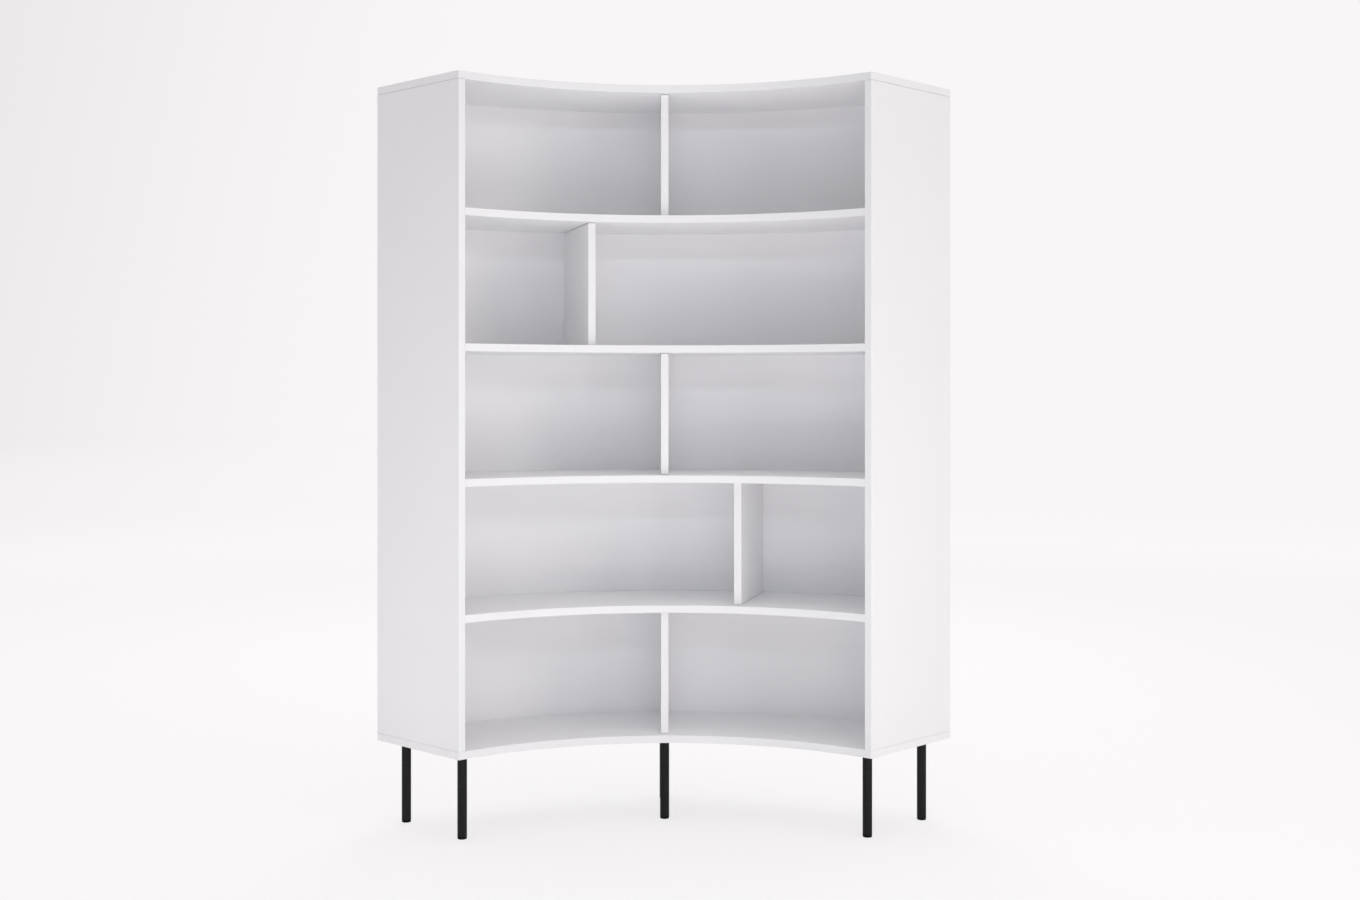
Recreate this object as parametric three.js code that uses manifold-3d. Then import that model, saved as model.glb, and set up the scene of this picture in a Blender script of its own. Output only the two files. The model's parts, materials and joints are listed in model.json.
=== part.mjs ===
// A curved corner shelf unit: boards cut as parts of a ring, between two sides splayed at 45 degrees,
// with one divider in each row, a bent back panel and six tube legs on levelling feet.
// Millimetres, +X to the right, +Y to the back, +Z up. The origin is on the floor, under the middle.

import * as THREE from 'three';
import { mergeVertices } from 'three/addons/utils/BufferGeometryUtils.js';
import Module from 'manifold-3d';

const wasm = await Module();
wasm.setup();

// Plan of the carcass, seen from the centre of the arcs
const frontRadius = 800;
const depth = 350;
const frontHalfWidth = 527;
const splay = THREE.MathUtils.degToRad(45);

// Boards and rows
const board = 20;
const clearHeight = 328;
const rows = 5;
const edgeEase = 1;
const dividerSwing = THREE.MathUtils.degToRad(15);
const dividerRecess = 26;

// Back panel
const backThickness = 8;
const backRecess = 12;
const backGroove = 6;

// Joints of the carcass
const jointGap = 0.3;
const housingDepth = 5;
const housingStop = 12;
const dowelRadius = 4;
const dowelInBoard = 12;
const dowelInSide = 26;
const dowelEase = 1;
const dowelPlaceShares = [1 / 7, 1 / 2, 6 / 7];

// Legs
const legHeight = 220;
const legInset = 55;
const middleLegInset = 75;
const tubeRadius = 12.5;
const tubeWall = 2;
const plugLength = 12;
const studRadius = 5;
const nutLength = 11;
const nutWall = 2.2;
const nutFlangeRadius = 9.5;
const nutFlange = 1.6;

// Feet
const padHeight = 5;
const padRadius = 12.1;
const padEase = 1.2;
const collarHeight = 2;
const insertLength = 22;
const stemRadius = 4;
const stemLength = 28;

// Facets, and how far a cut runs past the face that it opens
const arcSteps = 40;
const tubeSides = 20;
const smallSides = 12;
const overrun = 10;

// Sizes that follow
const rearRadius = frontRadius + depth;
const backOuterRadius = rearRadius - backRecess;
const backInnerRadius = backOuterRadius - backThickness;
const backMiddleRadius = backInnerRadius + backThickness / 2;
const cornerY = Math.sqrt(frontRadius ** 2 - frontHalfWidth ** 2);
const sideOffset = frontHalfWidth * Math.cos(splay) - cornerY * Math.sin(splay);
const splayCentre = new THREE.Vector2(0, -sideOffset / Math.sin(splay));
const pitch = clearHeight + board;
const sideHeight = (rows - 1) * pitch + clearHeight;
const dividerAngles = [0, -dividerSwing, 0, dividerSwing, 0];

function finish(color, roughness, metalness) {
  return () => new THREE.MeshStandardMaterial({ color, roughness, metalness });
}

const whiteLacquer = finish(0xf1f0f1, 0.5, 0);
const blackSteel = finish(0x1e1e1f, 0.45, 0.3);
const blackPlastic = finish(0x0d0d0d, 0.6, 0);
const zincSteel = finish(0xb8bcc0, 0.35, 1);
const beech = finish(0xd6ae7f, 0.7, 0);

// Solids

function solidOf(geometry) {
  geometry.deleteAttribute('normal');
  geometry.deleteAttribute('uv');
  const merged = mergeVertices(geometry);
  return new wasm.Manifold(new wasm.Mesh({
    numProp: 3,
    vertProperties: merged.attributes.position.array,
    triVerts: new Uint32Array(merged.index.array),
  }));
}

function geometryOf(solid) {
  const mesh = solid.getMesh();
  const geometry = new THREE.BufferGeometry();
  geometry.setAttribute('position', new THREE.BufferAttribute(mesh.vertProperties, 3));
  geometry.setIndex(new THREE.BufferAttribute(mesh.triVerts, 1));
  geometry.computeVertexNormals();
  return geometry;
}

function prism(outline, low, high) {
  const geometry = new THREE.ExtrudeGeometry(new THREE.Shape(outline), {
    depth: high - low,
    bevelEnabled: false,
  });
  return solidOf(geometry.translate(0, 0, low));
}

function easedPlate(outline, thickness, ease) {
  const geometry = new THREE.ExtrudeGeometry(new THREE.Shape(outline), {
    depth: thickness - 2 * ease,
    bevelEnabled: true,
    bevelThickness: ease,
    bevelSize: ease,
    bevelOffset: -ease,
    bevelSegments: 1,
  });
  return solidOf(geometry.translate(0, 0, ease));
}

// A profile of [radius, height] pairs turned round the Z axis
function turned(profile, sides) {
  const points = profile.map(([radius, height]) => new THREE.Vector2(radius, height));
  return new THREE.LatheGeometry(points, sides).rotateX(Math.PI / 2);
}

function turnedRing(profile, sides) {
  return turned([...profile, profile[0]], sides);
}

function easedCorners(corners, ease) {
  const outline = [];
  corners.forEach((corner, i) => {
    const before = corners[(i + corners.length - 1) % corners.length];
    const after = corners[(i + 1) % corners.length];
    outline.push(before.clone().sub(corner).setLength(ease).add(corner));
    outline.push(after.clone().sub(corner).setLength(ease).add(corner));
  });
  return outline;
}

// Places in plan. A side's points are told by their distance along it from its front corner and
// their distance inwards from its outer face; side is -1 on the left and 1 on the right.

function arcPoint(radius, angle) {
  return new THREE.Vector2(radius * Math.sin(angle), radius * Math.cos(angle));
}

function sidePoint(along, inward, side) {
  const x = frontHalfWidth + along * Math.sin(splay) - inward * Math.cos(splay);
  const y = cornerY + along * Math.cos(splay) + inward * Math.sin(splay);
  return new THREE.Vector2(side * x, y);
}

function angleAtSide(radius, inward) {
  return splay + Math.asin((sideOffset - inward) / radius);
}

function arc(radius, from, to) {
  const points = [];
  for (let i = 0; i <= arcSteps; i += 1) {
    points.push(arcPoint(radius, from + (to - from) * i / arcSteps));
  }
  return points;
}

// The part of a ring between the two sides, its ends at a distance inwards from their outer faces
function ringOutline(inner, outer, inward) {
  const innerAngle = angleAtSide(inner, inward);
  const outerAngle = angleAtSide(outer, inward);
  return [...arc(inner, -innerAngle, innerAngle), ...arc(outer, outerAngle, -outerAngle)];
}

function sideStrip(fromAlong, toAlong, fromInward, toInward, side) {
  return [
    sidePoint(fromAlong, fromInward, side),
    sidePoint(toAlong, fromInward, side),
    sidePoint(toAlong, toInward, side),
    sidePoint(fromAlong, toInward, side),
  ];
}

// The dividers turn about the splay centre, the spot where the planes of the sides' outer faces meet.
// This is how far it is from there, at an angle from the middle, to a circle of the plan.
function reachTo(radius, angle) {
  const across = splayCentre.y * Math.sin(angle);
  return Math.sqrt(radius ** 2 - across ** 2) - splayCentre.y * Math.cos(angle);
}

function strip(from, to, width) {
  return [
    new THREE.Vector2(-width / 2, from),
    new THREE.Vector2(width / 2, from),
    new THREE.Vector2(width / 2, to),
    new THREE.Vector2(-width / 2, to),
  ];
}

// Height of a board's underside: 0 is the top board, 1 to 4 the shelves, 5 the bottom board
function boardLevel(number) {
  return legHeight + (rows - number) * pitch;
}

// Curved boards

const boardBlank = easedPlate(ringOutline(frontRadius, rearRadius, 0), board, edgeEase);

function dividerHousing(row, low, high) {
  const angle = dividerAngles[row];
  const front = reachTo(frontRadius + dividerRecess, angle) + housingStop;
  const outline = strip(front, reachTo(backMiddleRadius, angle), board + 2 * jointGap);
  for (const corner of outline) {
    corner.rotateAround(new THREE.Vector2(), -angle).add(splayCentre);
  }
  return prism(outline, low, high);
}

function housingInTopFace(row) {
  return dividerHousing(row, board - housingDepth - jointGap, board + overrun);
}

function housingInUnderside(row) {
  return dividerHousing(row, -overrun, housingDepth + jointGap);
}

function backGrooveCut(low, high) {
  const inner = backInnerRadius - jointGap;
  const outer = backOuterRadius + jointGap;
  return prism(ringOutline(inner, outer, board - backGroove - jointGap), low, high);
}

function dowelPlaces() {
  const places = [];
  for (const side of [-1, 1]) {
    dowelPlaceShares.forEach((share, i) => {
      places.push({ side, number: i + 1, at: sidePoint(share * depth, board / 2, side) });
    });
  }
  return places;
}

function roundCut(at, radius, low, high) {
  const profile = [[0, low], [radius, low], [radius, high], [0, high]];
  return solidOf(turned(profile, smallSides).translate(at.x, at.y, 0));
}

function topBoard() {
  let solid = boardBlank.subtract(backGrooveCut(-overrun, backGroove + jointGap));
  solid = solid.subtract(housingInUnderside(0));
  for (const { at } of dowelPlaces()) {
    const hole = roundCut(at, dowelRadius + jointGap, -overrun, dowelInBoard + jointGap);
    solid = solid.subtract(hole);
  }
  return solid;
}

function bottomBoard() {
  let solid = boardBlank.subtract(backGrooveCut(board - backGroove - jointGap, board + overrun));
  solid = solid.subtract(housingInTopFace(rows - 1));
  for (const { at } of dowelPlaces()) {
    const floor = board - dowelInBoard - jointGap;
    solid = solid.subtract(roundCut(at, dowelRadius + jointGap, floor, board + overrun));
  }
  for (const { at } of legPlaces()) {
    const flangeSeat = roundCut(at, nutFlangeRadius + jointGap, -overrun, nutFlange + jointGap);
    const bodyHole = roundCut(at, nutBodyRadius + jointGap, -overrun, nutLength + jointGap);
    solid = solid.subtract(flangeSeat).subtract(bodyHole);
  }
  return solid;
}

function shelf(number) {
  const rear = backInnerRadius - jointGap;
  const front = frontRadius - overrun;
  let plan = prism(ringOutline(front, rear, board + jointGap), -overrun, board + overrun);
  const reach = prism(ringOutline(front, rear, board - housingDepth), -overrun, board + overrun);
  for (const side of [-1, 1]) {
    const end = sideStrip(housingStop + jointGap, depth, 0, board + overrun, side);
    plan = plan.add(reach.intersect(prism(end, -overrun, board + overrun)));
  }
  return boardBlank
    .intersect(plan)
    .subtract(housingInUnderside(number))
    .subtract(housingInTopFace(number - 1));
}

// Uprights

function shelfHousing(number, side) {
  const low = boardLevel(number) - boardLevel(rows) - board - jointGap;
  const high = low + board + 2 * jointGap;
  const floor = board - housingDepth - jointGap;
  const slot = prism(sideStrip(housingStop, depth, floor, board + overrun, side), low, high);
  return slot.intersect(prism(ringOutline(frontRadius, backMiddleRadius, 0), low, high));
}

// A side panel stands on the bottom board, so its own height starts there
function sidePanel(side) {
  const corners = [
    arcPoint(frontRadius, side * angleAtSide(frontRadius, 0)),
    arcPoint(frontRadius, side * angleAtSide(frontRadius, board)),
    arcPoint(rearRadius, side * angleAtSide(rearRadius, board)),
    arcPoint(rearRadius, side * angleAtSide(rearRadius, 0)),
  ];
  const low = jointGap;
  const high = sideHeight - jointGap;
  let solid = prism(easedCorners(corners, edgeEase), low, high);
  solid = solid.subtract(backGrooveCut(-overrun, sideHeight + overrun));
  for (let number = 1; number < rows; number += 1) {
    solid = solid.subtract(shelfHousing(number, side));
  }
  for (const place of dowelPlaces().filter((dowel) => dowel.side === side)) {
    const radius = dowelRadius + jointGap;
    const reach = dowelInSide + jointGap;
    solid = solid.subtract(roundCut(place.at, radius, -overrun, reach));
    solid = solid.subtract(roundCut(place.at, radius, sideHeight - reach, sideHeight + overrun));
  }
  return solid;
}

// A divider is drawn along the Y axis from the splay centre and turned into its place; its height
// starts on the board below. Its square end doesn't follow the back, so one corner would come nearer.
function divider(angle) {
  const front = reachTo(frontRadius + dividerRecess, angle);
  const nearer = Math.abs(splayCentre.y * Math.sin(angle)) / backInnerRadius * board / 2;
  const rear = reachTo(backInnerRadius - jointGap, angle) - nearer;
  const whole = easedCorners(strip(front, rear, board), edgeEase);
  const tongue = strip(front + housingStop + jointGap, rear - edgeEase, board);
  const body = prism(whole, jointGap, clearHeight - jointGap);
  return body.add(prism(tongue, -housingDepth, clearHeight + housingDepth));
}

function backPanel() {
  const outline = ringOutline(backInnerRadius, backOuterRadius, board - backGroove);
  return prism(outline, -backGroove, sideHeight + backGroove);
}

// Legs, each drawn on its own axis with the floor at zero

const nutBodyRadius = studRadius + jointGap + nutWall;
const tubeBottom = padHeight + collarHeight;

function legPlaces() {
  const rearAlong = depth - legInset;
  return [
    { name: 'front_left', at: sidePoint(legInset, legInset, -1) },
    { name: 'front_centre', at: arcPoint(frontRadius + middleLegInset, 0) },
    { name: 'front_right', at: sidePoint(legInset, legInset, 1) },
    { name: 'rear_left', at: sidePoint(rearAlong, legInset, -1) },
    { name: 'rear_centre', at: arcPoint(rearRadius - legInset, 0) },
    { name: 'rear_right', at: sidePoint(rearAlong, legInset, 1) },
  ];
}

function legTube() {
  const bore = tubeRadius - tubeWall;
  return turnedRing([
    [bore, tubeBottom],
    [tubeRadius, tubeBottom],
    [tubeRadius, legHeight],
    [bore, legHeight],
  ], tubeSides);
}

function legStud() {
  const plugRadius = tubeRadius - tubeWall - jointGap;
  return turned([
    [0, legHeight - plugLength],
    [plugRadius, legHeight - plugLength],
    [plugRadius, legHeight],
    [studRadius, legHeight],
    [studRadius, legHeight + nutLength],
    [0, legHeight + nutLength],
  ], smallSides);
}

function legNut() {
  const bore = studRadius + jointGap;
  return turnedRing([
    [bore, legHeight],
    [nutFlangeRadius, legHeight],
    [nutFlangeRadius, legHeight + nutFlange],
    [nutBodyRadius, legHeight + nutFlange],
    [nutBodyRadius, legHeight + nutLength],
    [bore, legHeight + nutLength],
  ], smallSides);
}

function footInsert() {
  const bore = stemRadius + jointGap;
  const plugRadius = tubeRadius - tubeWall - jointGap;
  return turnedRing([
    [bore, padHeight],
    [tubeRadius, padHeight],
    [tubeRadius, tubeBottom],
    [plugRadius, tubeBottom],
    [plugRadius, tubeBottom + insertLength],
    [bore, tubeBottom + insertLength],
  ], tubeSides);
}

function foot() {
  return turned([
    [0, 0],
    [padRadius - padEase, 0],
    [padRadius, padEase],
    [padRadius, padHeight],
    [stemRadius, padHeight],
    [stemRadius, padHeight + stemLength],
    [0, padHeight + stemLength],
  ], tubeSides);
}

function dowel() {
  const top = dowelInSide + dowelInBoard;
  return turned([
    [0, 0],
    [dowelRadius - dowelEase, 0],
    [dowelRadius, dowelEase],
    [dowelRadius, top - dowelEase],
    [dowelRadius - dowelEase, top],
    [0, top],
  ], smallSides);
}

// The assembly

function piece(name, geometry, material, height) {
  const mesh = new THREE.Mesh(geometry, material());
  mesh.name = name;
  mesh.position.z = height;
  return mesh;
}

function boards() {
  const group = new THREE.Group();
  group.add(piece('top_board', geometryOf(topBoard()), whiteLacquer, boardLevel(0)));
  for (let number = 1; number < rows; number += 1) {
    const geometry = geometryOf(shelf(number));
    group.add(piece(`shelf_${number}`, geometry, whiteLacquer, boardLevel(number)));
  }
  group.add(piece('bottom_board', geometryOf(bottomBoard()), whiteLacquer, boardLevel(rows)));
  return group;
}

function uprights() {
  const group = new THREE.Group();
  const floor = boardLevel(rows) + board;
  group.add(piece('left_side_panel', geometryOf(sidePanel(-1)), whiteLacquer, floor));
  group.add(piece('right_side_panel', geometryOf(sidePanel(1)), whiteLacquer, floor));
  group.add(piece('back_panel', geometryOf(backPanel()), whiteLacquer, floor));
  dividerAngles.forEach((angle, i) => {
    const level = boardLevel(i + 1) + board;
    const mesh = piece(`divider_${i + 1}`, geometryOf(divider(angle)), whiteLacquer, level);
    mesh.position.y = splayCentre.y;
    mesh.rotation.z = -angle;
    group.add(mesh);
  });
  return group;
}

function dowels() {
  const group = new THREE.Group();
  for (const { side, number, at } of dowelPlaces()) {
    const hand = side < 0 ? 'left' : 'right';
    const atTop = piece(`dowel_top_${hand}_${number}`, dowel(), beech, boardLevel(0) - dowelInSide);
    const bottomLevel = boardLevel(rows) + board - dowelInBoard;
    const atBottom = piece(`dowel_bottom_${hand}_${number}`, dowel(), beech, bottomLevel);
    for (const mesh of [atTop, atBottom]) {
      mesh.position.x = at.x;
      mesh.position.y = at.y;
      group.add(mesh);
    }
  }
  return group;
}

function leg(name, at) {
  const group = new THREE.Group();
  group.position.set(at.x, at.y, 0);
  group.add(piece(`leg_tube_${name}`, legTube(), blackSteel, 0));
  group.add(piece(`leg_stud_${name}`, legStud(), zincSteel, 0));
  group.add(piece(`leg_nut_${name}`, legNut(), zincSteel, 0));
  group.add(piece(`foot_insert_${name}`, footInsert(), blackPlastic, 0));
  group.add(piece(`foot_${name}`, foot(), blackPlastic, 0));
  return group;
}

const unit = new THREE.Group();
unit.position.y = -(cornerY + rearRadius) / 2;
unit.add(boards(), uprights(), dowels());
for (const { name, at } of legPlaces()) {
  unit.add(leg(name, at));
}

export default unit;
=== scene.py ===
"""A white curved corner shelf unit on black legs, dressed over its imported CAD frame.

All lengths are in metres, in the frame of the CAD model: +X right, +Y back, +Z up.
"""
import json
import math

import bpy
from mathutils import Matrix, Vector

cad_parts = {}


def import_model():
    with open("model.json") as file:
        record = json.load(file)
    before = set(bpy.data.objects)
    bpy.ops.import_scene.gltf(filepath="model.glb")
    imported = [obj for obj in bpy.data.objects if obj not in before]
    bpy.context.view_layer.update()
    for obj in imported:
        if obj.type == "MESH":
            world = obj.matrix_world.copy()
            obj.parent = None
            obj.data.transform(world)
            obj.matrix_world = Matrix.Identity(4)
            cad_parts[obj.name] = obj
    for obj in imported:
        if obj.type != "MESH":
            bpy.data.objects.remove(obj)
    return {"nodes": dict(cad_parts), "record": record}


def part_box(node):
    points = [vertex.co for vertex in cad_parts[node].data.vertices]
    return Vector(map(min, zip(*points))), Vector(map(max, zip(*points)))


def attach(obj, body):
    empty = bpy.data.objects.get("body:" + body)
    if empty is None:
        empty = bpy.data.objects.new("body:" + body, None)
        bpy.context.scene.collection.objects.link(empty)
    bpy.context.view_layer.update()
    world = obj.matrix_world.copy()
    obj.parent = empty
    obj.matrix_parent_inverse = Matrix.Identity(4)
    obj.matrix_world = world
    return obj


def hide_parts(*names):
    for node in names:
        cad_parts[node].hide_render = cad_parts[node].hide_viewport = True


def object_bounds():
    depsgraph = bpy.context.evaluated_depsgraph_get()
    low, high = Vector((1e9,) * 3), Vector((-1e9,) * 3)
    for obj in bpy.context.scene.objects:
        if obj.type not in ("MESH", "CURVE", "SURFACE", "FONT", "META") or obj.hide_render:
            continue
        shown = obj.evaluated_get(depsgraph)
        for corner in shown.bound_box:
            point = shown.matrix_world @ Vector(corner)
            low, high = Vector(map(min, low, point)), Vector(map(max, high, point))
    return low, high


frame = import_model()
CAD_LOW, CAD_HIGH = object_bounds()

# Plan of the carcass, as in the CAD model
FRONT_RADIUS = 0.800
DEPTH = 0.350
FRONT_HALF_WIDTH = 0.527
SPLAY = math.radians(45)
BOARD = 0.020
SHELVES = 4
BACK_THICKNESS = 0.008
BACK_RECESS = 0.012
JOINT_GAP = 0.0003
HOUSING_DEPTH = 0.005
DIVIDER_RECESS = 0.026
DIVIDER_SWING = math.radians(15)
DIVIDER_ANGLES = (0, -DIVIDER_SWING, 0, DIVIDER_SWING, 0)
REAR_RADIUS = FRONT_RADIUS + DEPTH
BACK_OUTER = REAR_RADIUS - BACK_RECESS
BACK_INNER = BACK_OUTER - BACK_THICKNESS
BACK_END = BOARD / 2
CORNER_Y = math.sqrt(FRONT_RADIUS ** 2 - FRONT_HALF_WIDTH ** 2)
SIDE_OFFSET = FRONT_HALF_WIDTH * math.cos(SPLAY) - CORNER_Y * math.sin(SPLAY)
ARC_CENTRE_Y = CAD_HIGH.y - REAR_RADIUS
SPLAY_CENTRE = Vector((0.0, ARC_CENTRE_Y - SIDE_OFFSET / math.sin(SPLAY)))

# The rows are pale inside, so light goes many times to and fro before it is lost
DIFFUSE_BOUNCES = 12

# Rounded edges, and the open hairlines of the joints. The corners in plan have a larger radius than
# the edges that run round them, so that no edge crosses itself there
EDGE_RADIUS = 0.0010
SEAM_EDGE_RADIUS = 0.0004
BUTT_RADIUS = 0.0003
TOP_SEAM = 0.0006
BOTTOM_SEAM = 0.0003
DIVIDER_TOP_SEAM = 0.0013
DIVIDER_BOTTOM_SEAM = 0.0009
BOARD_CORNER_RADIUS = 0.0013
PANEL_CORNER_RADIUS = 0.0006

# Smoothness of the surfaces; the least fillet turn spares the small turns of an arc
EDGE_STEPS = 4
CORNER_STEPS = 4
ARC_STEPS = 160
TURNED_STEPS = 72
LEAST_FILLET_TURN = math.radians(30)
SMOOTH_TURN = math.radians(35)
LARGE_FACE_WEIGHT = 100

# Camera, fitted to the photograph's edges and corners
IMAGE_WIDTH = 1360
IMAGE_HEIGHT = 900
FOCAL_PIXELS = 1632.3
HORIZON_ROW = 390.7
SENSOR_WIDTH = 36.0
CAMERA_PLACE = (-0.0363, -4.4425, 1.1625)
CAMERA_YAW = 0.0176
CAMERA_REACH = 200


# Outlines in plan

def arc_point(radius, angle):
    return Vector((radius * math.sin(angle), ARC_CENTRE_Y + radius * math.cos(angle)))


def angle_at_side(radius, inward):
    """Angle at which a circle meets the plane that lies inward from the right side's outer face."""
    return SPLAY + math.asin((SIDE_OFFSET - inward) / radius)


def arc(radius, start, end):
    return [arc_point(radius, start + (end - start) * i / ARC_STEPS) for i in range(ARC_STEPS + 1)]


def ring_outline(inner, outer, inward):
    """The part of a ring between the two sides, counter-clockwise seen from above."""
    inner_end = angle_at_side(inner, inward)
    outer_end = angle_at_side(outer, inward)
    return arc(inner, -inner_end, inner_end) + arc(outer, outer_end, -outer_end)


def side_outline(side):
    """A side panel in plan; side is -1 on the left and 1 on the right."""
    corners = [
        arc_point(FRONT_RADIUS, side * angle_at_side(FRONT_RADIUS, 0)),
        arc_point(REAR_RADIUS, side * angle_at_side(REAR_RADIUS, 0)),
        arc_point(REAR_RADIUS, side * angle_at_side(REAR_RADIUS, BOARD)),
        arc_point(FRONT_RADIUS, side * angle_at_side(FRONT_RADIUS, BOARD)),
    ]
    return corners if side > 0 else corners[::-1]


def divider_outline(angle):
    """A divider in plan, turned about the spot where the planes of the sides' outer faces meet."""
    across = Vector((math.cos(angle), -math.sin(angle))) * BOARD / 2
    onward = Vector((math.sin(angle), math.cos(angle)))
    centre_offset = SPLAY_CENTRE.y - ARC_CENTRE_Y

    def reach_to(radius):
        return math.sqrt(radius ** 2 - (centre_offset * onward.x) ** 2) - centre_offset * onward.y

    # The back meets a turned divider at a slant, so its square end stops a little earlier
    slant = abs(centre_offset * onward.x) / BACK_INNER * BOARD / 2
    front = SPLAY_CENTRE + onward * reach_to(FRONT_RADIUS + DIVIDER_RECESS)
    rear = SPLAY_CENTRE + onward * (reach_to(BACK_INNER - JOINT_GAP) - slant)
    return [front - across, front + across, rear + across, rear - across]


def filleted(outline, radius):
    """An outline with its corners rounded, but not the small turns of its arcs."""
    points = []
    count = len(outline)
    for i, corner in enumerate(outline):
        before = (outline[i - 1] - corner).normalized()
        after = (outline[(i + 1) % count] - corner).normalized()
        half = before.angle(after) / 2
        turn = math.pi - 2 * half
        if turn < LEAST_FILLET_TURN:
            points.append(corner)
            continue
        tangent = radius / math.tan(half)
        centre = corner + (before + after).normalized() * radius / math.sin(half)
        start = corner + before * tangent - centre
        for k in range(CORNER_STEPS + 1):
            angle = turn * k / CORNER_STEPS
            c, s = math.cos(angle), math.sin(angle)
            points.append(centre + Vector((c * start.x - s * start.y, s * start.x + c * start.y)))
    return points


def moved_inwards(outline, distance):
    """A counter-clockwise outline with each edge moved inwards by the same distance."""
    points = []
    count = len(outline)
    for i, corner in enumerate(outline):
        before = (corner - outline[i - 1]).normalized()
        after = (outline[(i + 1) % count] - corner).normalized()
        normal = Vector((-before.y, before.x)) + Vector((-after.y, after.x))
        points.append(corner + normal * (2 * distance / normal.length_squared))
    return points


# Meshes

def new_piece(name, vertices, faces):
    mesh = bpy.data.meshes.new(name)
    mesh.from_pydata(vertices, [], faces)
    mesh.update()
    mesh.shade_smooth()
    piece = bpy.data.objects.new(name, mesh)
    bpy.context.scene.collection.objects.link(piece)
    return piece


def rounding(ease):
    """Steps over a rounded edge: how far each lies inwards and away from the flat face."""
    steps = []
    for k in range(EDGE_STEPS + 1):
        angle = math.pi / 2 * k / EDGE_STEPS
        steps.append((ease * (1 - math.sin(angle)), ease * (1 - math.cos(angle))))
    return steps


def plate(name, outline, low, high, low_ease, high_ease, bare_ends=False):
    """A flat plate with rounded edges. Bare ends are faces that stand in a joint, without lacquer."""
    rings = [(inset, low + rise) for inset, rise in rounding(low_ease)]
    rings += [(inset, high - rise) for inset, rise in reversed(rounding(high_ease))]
    vertices = []
    for inset, height in rings:
        vertices += [(p.x, p.y, height) for p in moved_inwards(outline, inset)]
    count = len(outline)
    faces = [tuple(reversed(range(count)))]
    for k in range(len(rings) - 1):
        for i in range(count):
            j = (i + 1) % count
            faces.append((k * count + i, k * count + j, (k + 1) * count + j, (k + 1) * count + i))
    top = (len(rings) - 1) * count
    faces.append(tuple(range(top, top + count)))
    piece = new_piece(name, vertices, faces)
    if bare_ends:
        # The bottom is the first face and the top is the last
        bare = piece.data.attributes.new("bare", "FLOAT", "FACE")
        bare.data[0].value = 1.0
        bare.data[len(faces) - 1].value = 1.0
    piece.data.set_sharp_from_angle(angle=SMOOTH_TURN)
    weighted = piece.modifiers.new("weighted_normals", "WEIGHTED_NORMAL")
    weighted.weight = LARGE_FACE_WEIGHT
    weighted.keep_sharp = True
    return piece


def turned(name, profile, place, closed=False):
    """A profile of (radius, height) pairs turned round an upright axis."""
    vertices = []
    for radius, height in profile:
        for i in range(TURNED_STEPS):
            angle = 2 * math.pi * i / TURNED_STEPS
            vertices.append((
                place.x + radius * math.cos(angle),
                place.y + radius * math.sin(angle),
                height,
            ))
    faces = []
    steps = len(profile) if closed else len(profile) - 1
    for k in range(steps):
        following = (k + 1) % len(profile)
        for i in range(TURNED_STEPS):
            j = (i + 1) % TURNED_STEPS
            faces.append((
                k * TURNED_STEPS + i,
                k * TURNED_STEPS + j,
                following * TURNED_STEPS + j,
                following * TURNED_STEPS + i,
            ))
    if not closed:
        faces.append(tuple(reversed(range(TURNED_STEPS))))
        last = (len(profile) - 1) * TURNED_STEPS
        faces.append(tuple(range(last, last + TURNED_STEPS)))
    piece = new_piece(name, vertices, faces)
    piece.data.set_sharp_from_angle(angle=SMOOTH_TURN)
    return piece


def rounded_wall(radius, low, high, low_ease, high_ease):
    """Profile of an outer wall with rounded edges, as (radius, height) pairs from the bottom up."""
    points = [(radius - inset, low + rise) for inset, rise in rounding(low_ease)]
    points += [(radius - inset, high - rise) for inset, rise in reversed(rounding(high_ease))]
    return points


# Shader nodes

UP = (0, 0, 1)
BACKWARDS = (0, 1, 0)
# Most values of a noise texture lie between these two
NOISE_LOW = 0.3
NOISE_HIGH = 0.7
# Places of the colour sockets in a Mix node, whose lists hold those for numbers and vectors too
MIX_FIRST_COLOUR = 6
MIX_SECOND_COLOUR = 7
MIX_COLOUR_RESULT = 2


def calculated(nodes, links, operation, *values):
    """The result of a Math node; each value is a number or an output."""
    node = nodes.new("ShaderNodeMath")
    node.operation = operation
    for socket, value in zip(node.inputs, values):
        if isinstance(value, (int, float)):
            socket.default_value = value
        else:
            links.new(value, socket)
    return node.outputs["Value"]


def vector_result(nodes, links, operation, first, second=None):
    """The node of an operation on a vector, for its Vector or Value output."""
    node = nodes.new("ShaderNodeVectorMath")
    node.operation = operation
    links.new(first, node.inputs[0])
    if second is not None:
        node.inputs[1].default_value = second
    return node


def along(nodes, links, vector, axis):
    """The part of a vector that lies along an axis."""
    node = vector_result(nodes, links, "DOT_PRODUCT", vector, Vector(axis).normalized())
    return node.outputs["Value"]


def eased(nodes, links, value, start, end):
    """0 before start, 1 after end, and a smooth rise between them."""
    node = nodes.new("ShaderNodeMapRange")
    node.interpolation_type = "SMOOTHSTEP"
    node.inputs["From Min"].default_value = start
    node.inputs["From Max"].default_value = end
    links.new(value, node.inputs["Value"])
    return node.outputs["Result"]


def blended(nodes, links, share, first, second):
    """One colour turning into another; each is a tone or an output."""
    node = nodes.new("ShaderNodeMix")
    node.data_type = "RGBA"
    links.new(share, node.inputs["Factor"])
    for index, value in ((MIX_FIRST_COLOUR, first), (MIX_SECOND_COLOUR, second)):
        if isinstance(value, tuple):
            node.inputs[index].default_value = (*value, 1)
        else:
            links.new(value, node.inputs[index])
    return node.outputs[MIX_COLOUR_RESULT]


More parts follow.
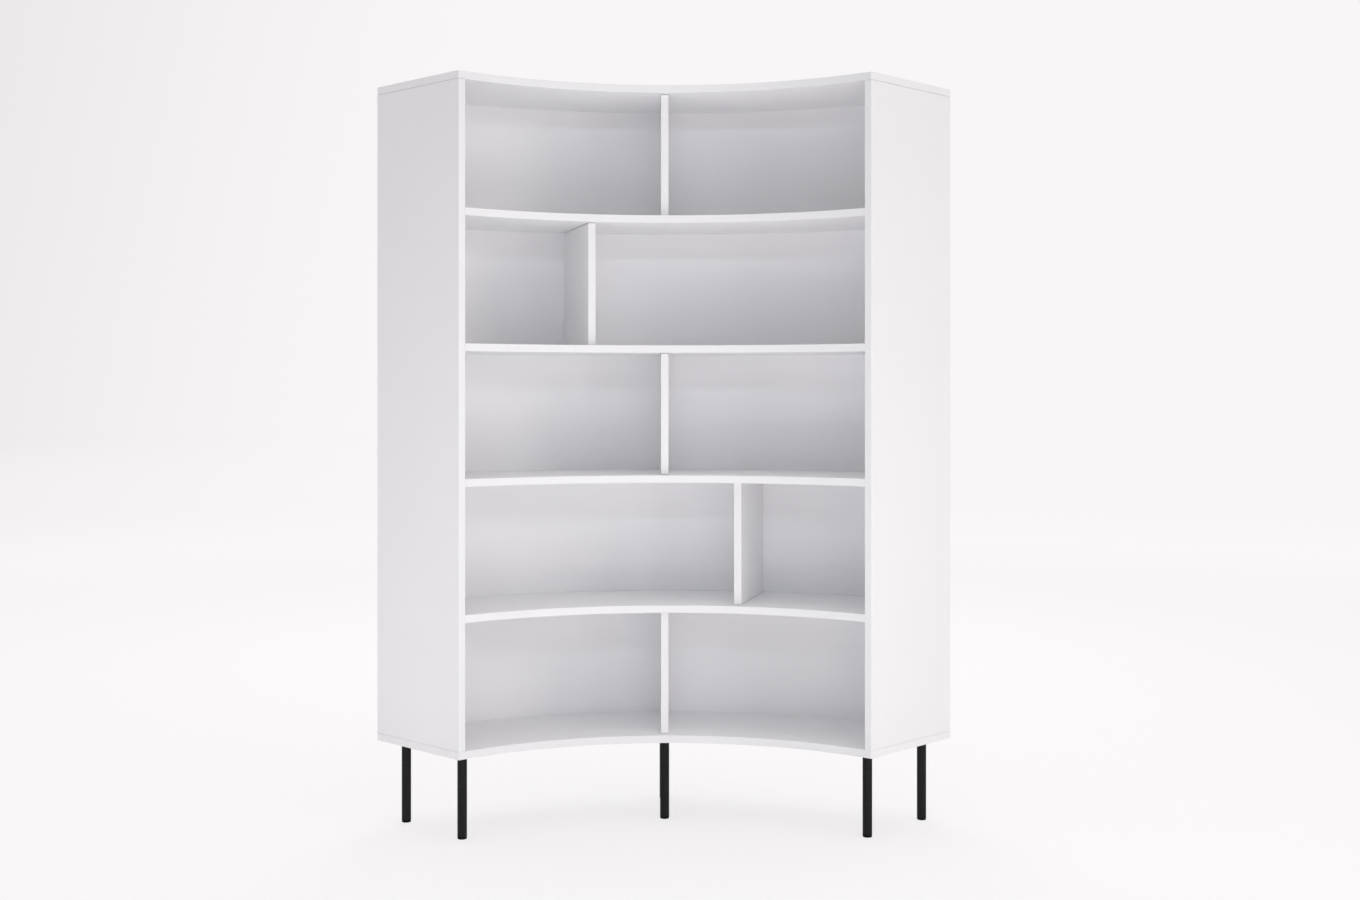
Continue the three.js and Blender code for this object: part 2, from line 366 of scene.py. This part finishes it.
def mixed(nodes, links, share, first, second):
    """One shader turning into another."""
    node = nodes.new("ShaderNodeMixShader")
    links.new(share, node.inputs["Fac"])
    links.new(first, node.inputs[1])
    links.new(second, node.inputs[2])
    return node.outputs["Shader"]


def new_material(name):
    material = bpy.data.materials.new(name)
    material.use_nodes = True
    nodes = material.node_tree.nodes
    return material, nodes, material.node_tree.links, nodes["Principled BSDF"]


def noise(nodes, links, space, scale, detail):
    texture = nodes.new("ShaderNodeTexNoise")
    texture.inputs["Scale"].default_value = scale
    texture.inputs["Detail"].default_value = detail
    links.new(space, texture.inputs["Vector"])
    return texture.outputs["Fac"]


def ramp(nodes, links, value, low, high):
    """A colour between two, by a noise value."""
    node = nodes.new("ShaderNodeValToRGB")
    node.color_ramp.elements[0].position = NOISE_LOW
    node.color_ramp.elements[1].position = NOISE_HIGH
    node.color_ramp.elements[0].color = (*low, 1)
    node.color_ramp.elements[1].color = (*high, 1)
    links.new(value, node.inputs["Fac"])
    return node.outputs["Color"]


def spread(nodes, links, value, low, high):
    """A number between two, by a noise value."""
    node = nodes.new("ShaderNodeMapRange")
    node.inputs["From Min"].default_value = NOISE_LOW
    node.inputs["From Max"].default_value = NOISE_HIGH
    node.inputs["To Min"].default_value = low
    node.inputs["To Max"].default_value = high
    links.new(value, node.inputs["Value"])
    return node.outputs["Result"]


def bump(nodes, links, shader, height, strength, distance):
    node = nodes.new("ShaderNodeBump")
    node.inputs["Strength"].default_value = strength
    node.inputs["Distance"].default_value = distance
    links.new(height, node.inputs["Height"])
    links.new(node.outputs["Normal"], shader.inputs["Normal"])


def object_space(nodes):
    return nodes.new("ShaderNodeTexCoord").outputs["Object"]


# Materials

# The board under the lacquer, as it shows in the joints
BARE_BOARD = (0.07, 0.05, 0.035)


def white_lacquer():
    """Sprayed matt lacquer: a faint drift of tone, uneven gloss and a fine orange peel.

    The faces that stand in a joint are the bare board, which makes a dark hairline of each joint.
    """
    material, nodes, links, shader = new_material("white_lacquer")
    space = object_space(nodes)
    drift = noise(nodes, links, space, scale=2.5, detail=2)
    lacquer = ramp(nodes, links, drift, (0.861, 0.860, 0.867), (0.875, 0.874, 0.881))
    bare = nodes.new("ShaderNodeAttribute")
    bare.attribute_name = "bare"
    colour = blended(nodes, links, bare.outputs["Fac"], lacquer, BARE_BOARD)
    links.new(colour, shader.inputs["Base Color"])
    gloss = noise(nodes, links, space, scale=14, detail=3)
    links.new(spread(nodes, links, gloss, 0.42, 0.52), shader.inputs["Roughness"])
    shader.inputs["Specular IOR Level"].default_value = 0.35
    peel = noise(nodes, links, space, scale=420, detail=2)
    bump(nodes, links, shader, peel, strength=0.06, distance=0.0004)
    return material


def black_steel():
    """Fine-textured powder coat."""
    material, nodes, links, shader = new_material("black_steel")
    space = object_space(nodes)
    tone = noise(nodes, links, space, scale=60, detail=3)
    colour = ramp(nodes, links, tone, (0.0055, 0.0055, 0.0055), (0.0085, 0.0083, 0.0083))
    links.new(colour, shader.inputs["Base Color"])
    gloss = noise(nodes, links, space, scale=220, detail=2)
    links.new(spread(nodes, links, gloss, 0.50, 0.62), shader.inputs["Roughness"])
    shader.inputs["Specular IOR Level"].default_value = 0.18
    texture = noise(nodes, links, space, scale=1600, detail=2)
    bump(nodes, links, shader, texture, strength=0.25, distance=0.0002)
    return material


def black_plastic():
    """Matt moulded plastic."""
    material, nodes, links, shader = new_material("black_plastic")
    space = object_space(nodes)
    tone = noise(nodes, links, space, scale=90, detail=2)
    colour = ramp(nodes, links, tone, (0.0025, 0.0025, 0.0025), (0.0045, 0.0045, 0.0045))
    links.new(colour, shader.inputs["Base Color"])
    gloss = noise(nodes, links, space, scale=300, detail=2)
    links.new(spread(nodes, links, gloss, 0.60, 0.72), shader.inputs["Roughness"])
    shader.inputs["Specular IOR Level"].default_value = 0.12
    texture = noise(nodes, links, space, scale=2200, detail=1)
    bump(nodes, links, shader, texture, strength=0.15, distance=0.0001)
    return material


def zinc_steel():
    """Bright zinc plate with fine turning marks."""
    material, nodes, links, shader = new_material("zinc_steel")
    space = object_space(nodes)
    tone = noise(nodes, links, space, scale=150, detail=3)
    colour = ramp(nodes, links, tone, (0.55, 0.56, 0.58), (0.68, 0.69, 0.70))
    links.new(colour, shader.inputs["Base Color"])
    gloss = noise(nodes, links, space, scale=400, detail=2)
    links.new(spread(nodes, links, gloss, 0.25, 0.40), shader.inputs["Roughness"])
    shader.inputs["Metallic"].default_value = 1.0
    marks = nodes.new("ShaderNodeTexWave")
    marks.bands_direction = "Z"
    marks.inputs["Scale"].default_value = 900
    links.new(space, marks.inputs["Vector"])
    bump(nodes, links, shader, marks.outputs["Fac"], strength=0.2, distance=0.0001)
    return material


def beech():
    """Bare beech with its grain along the dowel."""
    material, nodes, links, shader = new_material("beech")
    space = object_space(nodes)
    stretched = nodes.new("ShaderNodeMapping")
    stretched.inputs["Scale"].default_value = (1, 1, 0.08)
    links.new(space, stretched.inputs["Vector"])
    grain = noise(nodes, links, stretched.outputs["Vector"], scale=900, detail=4)
    colour = ramp(nodes, links, grain, (0.50, 0.32, 0.17), (0.70, 0.50, 0.31))
    links.new(colour, shader.inputs["Base Color"])
    links.new(spread(nodes, links, grain, 0.60, 0.75), shader.inputs["Roughness"])
    bump(nodes, links, shader, grain, strength=0.2, distance=0.0002)
    return material


MATERIALS = {
    "white_lacquer": white_lacquer(),
    "black_steel": black_steel(),
    "black_plastic": black_plastic(),
    "zinc_steel": zinc_steel(),
    "beech": beech(),
}


def dress(piece, slot_name, node, body="carcass"):
    """Gives a piece its finish and its body, and hides the CAD node that it stands for."""
    piece.data.materials.append(MATERIALS[slot_name])
    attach(piece, body)
    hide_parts(node)


def dress_kept_nodes():
    """The CAD nodes that stay in sight or inside keep their shape and get a full material."""
    slots = {part["node"]: part["material_slot"] for part in frame["record"]["subparts"]}
    for name, node in frame["nodes"].items():
        node.data.materials.clear()
        node.data.materials.append(MATERIALS[slots[name]])


# The unit

def level_of(node):
    low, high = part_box(node)
    return low.z, high.z


def end_boards():
    outline = filleted(ring_outline(FRONT_RADIUS, REAR_RADIUS, 0), BOARD_CORNER_RADIUS)
    eases = {
        "top_board": (SEAM_EDGE_RADIUS, EDGE_RADIUS),
        "bottom_board": (EDGE_RADIUS, SEAM_EDGE_RADIUS),
    }
    for node, ease in eases.items():
        dress(plate(f"{node}_lacquered", outline, *level_of(node), *ease), "white_lacquer", node)


def shelves():
    rear = BACK_INNER - JOINT_GAP
    outline = ring_outline(FRONT_RADIUS, rear, BOARD)
    for number in range(1, SHELVES + 1):
        node = f"shelf_{number}"
        piece = plate(f"{node}_lacquered", outline, *level_of(node), EDGE_RADIUS, EDGE_RADIUS)
        dress(piece, "white_lacquer", node)


def side_panels():
    low = level_of("bottom_board")[1] + BOTTOM_SEAM
    high = level_of("top_board")[0] - TOP_SEAM
    ends = (low, high, BUTT_RADIUS, BUTT_RADIUS)
    for side, node in ((-1, "left_side_panel"), (1, "right_side_panel")):
        outline = filleted(side_outline(side), PANEL_CORNER_RADIUS)
        dress(plate(f"{node}_lacquered", outline, *ends, bare_ends=True), "white_lacquer", node)


def dividers():
    for number, angle in enumerate(DIVIDER_ANGLES, start=1):
        node = f"divider_{number}"
        low, high = level_of(node)
        outline = filleted(divider_outline(angle), PANEL_CORNER_RADIUS)
        bottom = low + HOUSING_DEPTH + DIVIDER_BOTTOM_SEAM
        top = high - HOUSING_DEPTH - DIVIDER_TOP_SEAM
        ends = (bottom, top, BUTT_RADIUS, BUTT_RADIUS)
        dress(plate(f"{node}_lacquered", outline, *ends, bare_ends=True), "white_lacquer", node)


def back_panel():
    """The bent back, which ends unseen inside the sides and the end boards."""
    low, high = level_of("back_panel")
    outline = ring_outline(BACK_INNER, BACK_OUTER, BACK_END)
    piece = plate("back_panel_lacquered", outline, low, high, BUTT_RADIUS, BUTT_RADIUS)
    dress(piece, "white_lacquer", "back_panel")


# Legs, as in the CAD model, with the rounding of their edges
LEG_NAMES = ("front_left", "front_centre", "front_right", "rear_left", "rear_centre", "rear_right")
TUBE_WALL = 0.002
TUBE_EASE = 0.0004
COLLAR_EASE = 0.0003
PAD_EASE = 0.0012
PAD_TOP_EASE = 0.0004
COLLAR_HEIGHT = 0.002
PAD_HEIGHT = 0.005
STEM_RADIUS = 0.004


def axis_of(node):
    low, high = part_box(node)
    return Vector(((low.x + high.x) / 2, (low.y + high.y) / 2))


def radius_of(node):
    low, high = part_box(node)
    return (high.x - low.x) / 2


def leg_tube(leg):
    node = f"leg_tube_{leg}"
    low, high = level_of(node)
    radius = radius_of(node)
    bore = radius - TUBE_WALL
    outer = rounded_wall(radius, low, high, TUBE_EASE, TUBE_EASE)
    profile = [(bore, low)] + outer + [(bore, high)]
    dress(turned(f"{node}_coated", profile, axis_of(node), closed=True), "black_steel", node)


def foot_insert(leg):
    node = f"foot_insert_{leg}"
    low, high = level_of(node)
    radius = radius_of(node)
    plug = radius - TUBE_WALL - JOINT_GAP
    bore = STEM_RADIUS + JOINT_GAP
    top = low + COLLAR_HEIGHT
    outer = rounded_wall(radius, low, top, COLLAR_EASE, COLLAR_EASE)
    profile = [(bore, low)] + outer + [(plug, top), (plug, high), (bore, high)]
    dress(turned(f"{node}_moulded", profile, axis_of(node), closed=True), "black_plastic", node)


def foot(leg):
    node = f"foot_{leg}"
    low, high = level_of(node)
    radius = radius_of(node)
    top = low + PAD_HEIGHT
    outer = rounded_wall(radius, low, top, PAD_EASE, PAD_TOP_EASE)
    profile = outer + [(STEM_RADIUS, top), (STEM_RADIUS, high)]
    piece = turned(f"{node}_moulded", profile, axis_of(node))
    dress(piece, "black_plastic", node, body=f"levelling_foot_{leg}")


def legs():
    for leg in LEG_NAMES:
        leg_tube(leg)
        foot_insert(leg)
        foot(leg)


# Camera, lights and floor

def camera():
    data = bpy.data.cameras.new("camera")
    data.sensor_width = SENSOR_WIDTH
    data.lens = SENSOR_WIDTH * FOCAL_PIXELS / IMAGE_WIDTH
    data.shift_y = (HORIZON_ROW - IMAGE_HEIGHT / 2) / IMAGE_WIDTH
    data.clip_end = CAMERA_REACH
    item = bpy.data.objects.new("camera", data)
    item.location = CAMERA_PLACE
    item.rotation_euler = (math.pi / 2, 0, -CAMERA_YAW)
    bpy.context.scene.collection.objects.link(item)
    bpy.context.scene.camera = item


# Softboxes and reflectors: name, place, the point that each faces, width, height, watts and colour.
# Each was placed, aimed and sized one by one, most of them among more candidates. The builder's
# scratch programs then chose among these, fitted watts and colours to the photograph's tones, and
# wrote the first version of this table
LAMPS = (
    ("high_strip", (0.0, -4.8, 2.62), (0.0, 0.0, 2.62), 3.2, 0.08, 19.36, (0.825, 0.923, 1.000)),
    ("side_right", (4.2, -3.0, 2.3), (0.0, -3.0, 2.3), 2.0, 1.0, 47.73, (1.000, 0.918, 0.884)),
    ("low_right", (3.0, -4.2, 1.25), (0.0, 0.0, 1.0), 1.0, 1.0, 11.68, (1.000, 0.966, 0.997)),
    ("low_front", (0.0, -2.4, 0.7), (0.0, 0.0, 1.0), 0.6, 0.6, 2.57, (0.668, 0.839, 1.000)),
    ("low_front_right", (0.7, -2.4, 0.35), (0.0, 0.0, 1.0), 0.6, 0.6, 3.07, (1.000, 0.784, 0.719)),
    ("near_front", (0.0, -1.8, 0.2), (0.0, 0.0, 1.0), 0.8, 0.3, 2.00, (1.000, 0.973, 0.974)),
    ("reflector_front", (0.0, -1.4, 0.01), (0.0, -1.4, 1.0), 3.0, 0.8, 4.41, (0.921, 0.995, 1.000)),
    ("reflector_left", (-2.1, -1.4, 0.01), (-2.1, -1.4, 1.0), 1.2, 1.2, 12.4, (1.000, 0.870, 0.900)),
    ("reflector_right", (2.1, -1.4, 0.01), (2.1, -1.4, 1.0), 1.2, 1.2, 4.10, (0.830, 1.000, 0.760)),
    ("near_left", (-1.05, -0.55, 0.01), (-1.05, -0.55, 1.0), 0.5, 0.5, 1.05, (1.000, 0.967, 0.948)),
    ("near_right", (1.05, -0.55, 0.01), (1.05, -0.55, 1.0), 0.5, 0.5, 0.44, (1.000, 0.930, 0.864)),
    ("rear_overhead", (0.0, 3.0, 4.2), (0.0, 3.0, 0.0), 2.0, 2.0, 53.65, (1.000, 1.000, 1.000)),
)


def lamps():
    for name, place, aim, width, height, watts, colour in LAMPS:
        data = bpy.data.lights.new(name, "AREA")
        data.shape = "RECTANGLE"
        data.size = width
        data.size_y = height
        data.energy = watts
        data.color = colour
        item = bpy.data.objects.new(name, data)
        item.location = place
        item.rotation_euler = (Vector(aim) - Vector(place)).to_track_quat("-Z", "Y").to_euler()
        item.visible_camera = False
        bpy.context.scene.collection.objects.link(item)


def is_looked_at(nodes, links):
    """1 for what the camera sees, straight, mirrored or through glass, and 0 for light on a surface."""
    path = nodes.new("ShaderNodeLightPath")
    looked_at = path.outputs["Is Camera Ray"]
    for kind in ("Is Glossy Ray", "Is Transmission Ray"):
        looked_at = calculated(nodes, links, "MAXIMUM", looked_at, path.outputs[kind])
    return looked_at


# The pale studio: its tone, the darker tone on its left side, and where one turns into the other.
# A fitting program found all five values from the photograph's backdrop
STUDIO_TONE = (0.940, 0.920, 0.928)
STUDIO_SHADE = (0.771, 0.752, 0.756)
SHADE_AXIS = (-0.873, -0.453, 0.183)
SHADE_START = -0.352
SHADE_END = 0.142
# Soft light from above: its colour, its strength straight down, and how closely it gathers overhead.
# The colour and the strength were fitted together with the lamps
ROOM_LIGHT_COLOUR = (1.024, 1.000, 1.017)
ROOM_LIGHT = 1.577
ROOM_LIGHT_GATHERING = 2.0


def studio_colour(nodes, links, direction, shade_share):
    near_shade = eased(nodes, links, along(nodes, links, direction, SHADE_AXIS), SHADE_START, SHADE_END)
    shade = calculated(nodes, links, "MULTIPLY", near_shade, shade_share)
    return blended(nodes, links, shade, STUDIO_TONE, STUDIO_SHADE)


def world():
    item = bpy.data.worlds.new("studio")
    item.use_nodes = True
    nodes, links = item.node_tree.nodes, item.node_tree.links
    nodes.clear()
    output = nodes.new("ShaderNodeOutputWorld")
    direction = nodes.new("ShaderNodeTexCoord").outputs["Generated"]
    light = nodes.new("ShaderNodeBackground")
    overhead = calculated(nodes, links, "MAXIMUM", along(nodes, links, direction, UP), 0.0)
    gathered = calculated(nodes, links, "POWER", overhead, ROOM_LIGHT_GATHERING)
    links.new(calculated(nodes, links, "MULTIPLY", gathered, ROOM_LIGHT), light.inputs["Strength"])
    light.inputs["Color"].default_value = (*ROOM_LIGHT_COLOUR, 1)
    seen = nodes.new("ShaderNodeBackground")
    links.new(studio_colour(nodes, links, direction, 1.0), seen.inputs["Color"])
    looked_at = is_looked_at(nodes, links)
    shader = mixed(nodes, links, looked_at, light.outputs["Background"], seen.outputs["Background"])
    links.new(shader, output.inputs["Surface"])
    bpy.context.scene.world = item


FLOOR_RADIUS = 40.0
FLOOR_STEPS = 128
FLOOR_TONE = (0.90, 0.90, 0.90)
# Near the unit the camera sees this share of the floor's lit tone, which fades out with distance
FLOOR_LIT_SHARE = 0.30
LIT_FADE_START = 4.5
LIT_FADE_END = 9.0
# The rest is an even white, which turns into the backdrop's tone with distance
FLOOR_WHITE = (0.975, 0.957, 0.962)
FLOOR_FADE_START = 3.5
FLOOR_FADE_END = 13.0
# Up to there the floor has this share of the backdrop's shade, and at its rim all of it
FLOOR_SHADE_SHARE = 0.50
# The shade on the floor follows directions from this spot, which lies below the camera
SHADE_CENTRE = (0.0, -4.4, 0.0)
# In front of the unit the lit tone is let go, so that the low lamps leave no bright patch there
FRONT_FADE_START = -1.5
FRONT_FADE_END = -0.8


def floor():
    """A pale floor that keeps the unit's shadow and runs into the backdrop without a horizon."""
    ring = []
    for i in range(FLOOR_STEPS):
        angle = 2 * math.pi * i / FLOOR_STEPS
        ring.append((FLOOR_RADIUS * math.cos(angle), FLOOR_RADIUS * math.sin(angle), 0))
    piece = new_piece("floor", ring, [tuple(range(FLOOR_STEPS))])
    material, nodes, links, shader = new_material("floor")
    nodes.remove(shader)
    # The even tone is only looked at, and lights nothing
    material.cycles.emission_sampling = "NONE"
    place = object_space(nodes)
    distance = vector_result(nodes, links, "LENGTH", place).outputs["Value"]
    from_centre = vector_result(nodes, links, "SUBTRACT", place, SHADE_CENTRE).outputs["Vector"]
    direction = vector_result(nodes, links, "NORMALIZE", from_centre).outputs["Vector"]
    near_rim = eased(nodes, links, distance, FLOOR_FADE_END, FLOOR_RADIUS)
    deepening = 1 - FLOOR_SHADE_SHARE
    shade_share = calculated(nodes, links, "MULTIPLY_ADD", near_rim, deepening, FLOOR_SHADE_SHARE)
    backdrop = studio_colour(nodes, links, direction, shade_share)
    faded = eased(nodes, links, distance, FLOOR_FADE_START, FLOOR_FADE_END)
    even = nodes.new("ShaderNodeEmission")
    links.new(blended(nodes, links, faded, FLOOR_WHITE, backdrop), even.inputs["Color"])
    lit = nodes.new("ShaderNodeBsdfDiffuse")
    lit.inputs["Color"].default_value = (*FLOOR_TONE, 1)
    depth = along(nodes, links, place, BACKWARDS)
    past_front = eased(nodes, links, depth, FRONT_FADE_START, FRONT_FADE_END)
    far = eased(nodes, links, distance, LIT_FADE_START, LIT_FADE_END)
    close = calculated(nodes, links, "SUBTRACT", 1.0, far)
    near = calculated(nodes, links, "MULTIPLY", past_front, close)
    even_share = calculated(nodes, links, "MULTIPLY_ADD", near, -FLOOR_LIT_SHARE, 1.0)
    seen = mixed(nodes, links, even_share, lit.outputs["BSDF"], even.outputs["Emission"])
    shader = mixed(nodes, links, is_looked_at(nodes, links), lit.outputs["BSDF"], seen)
    links.new(shader, nodes["Material Output"].inputs["Surface"])
    piece.data.materials.append(material)


bpy.context.scene.view_settings.view_transform = "Standard"
bpy.context.scene.cycles.diffuse_bounces = DIFFUSE_BOUNCES
dress_kept_nodes()
end_boards()
shelves()
side_panels()
dividers()
back_panel()
legs()
camera()
lamps()
world()
floor()
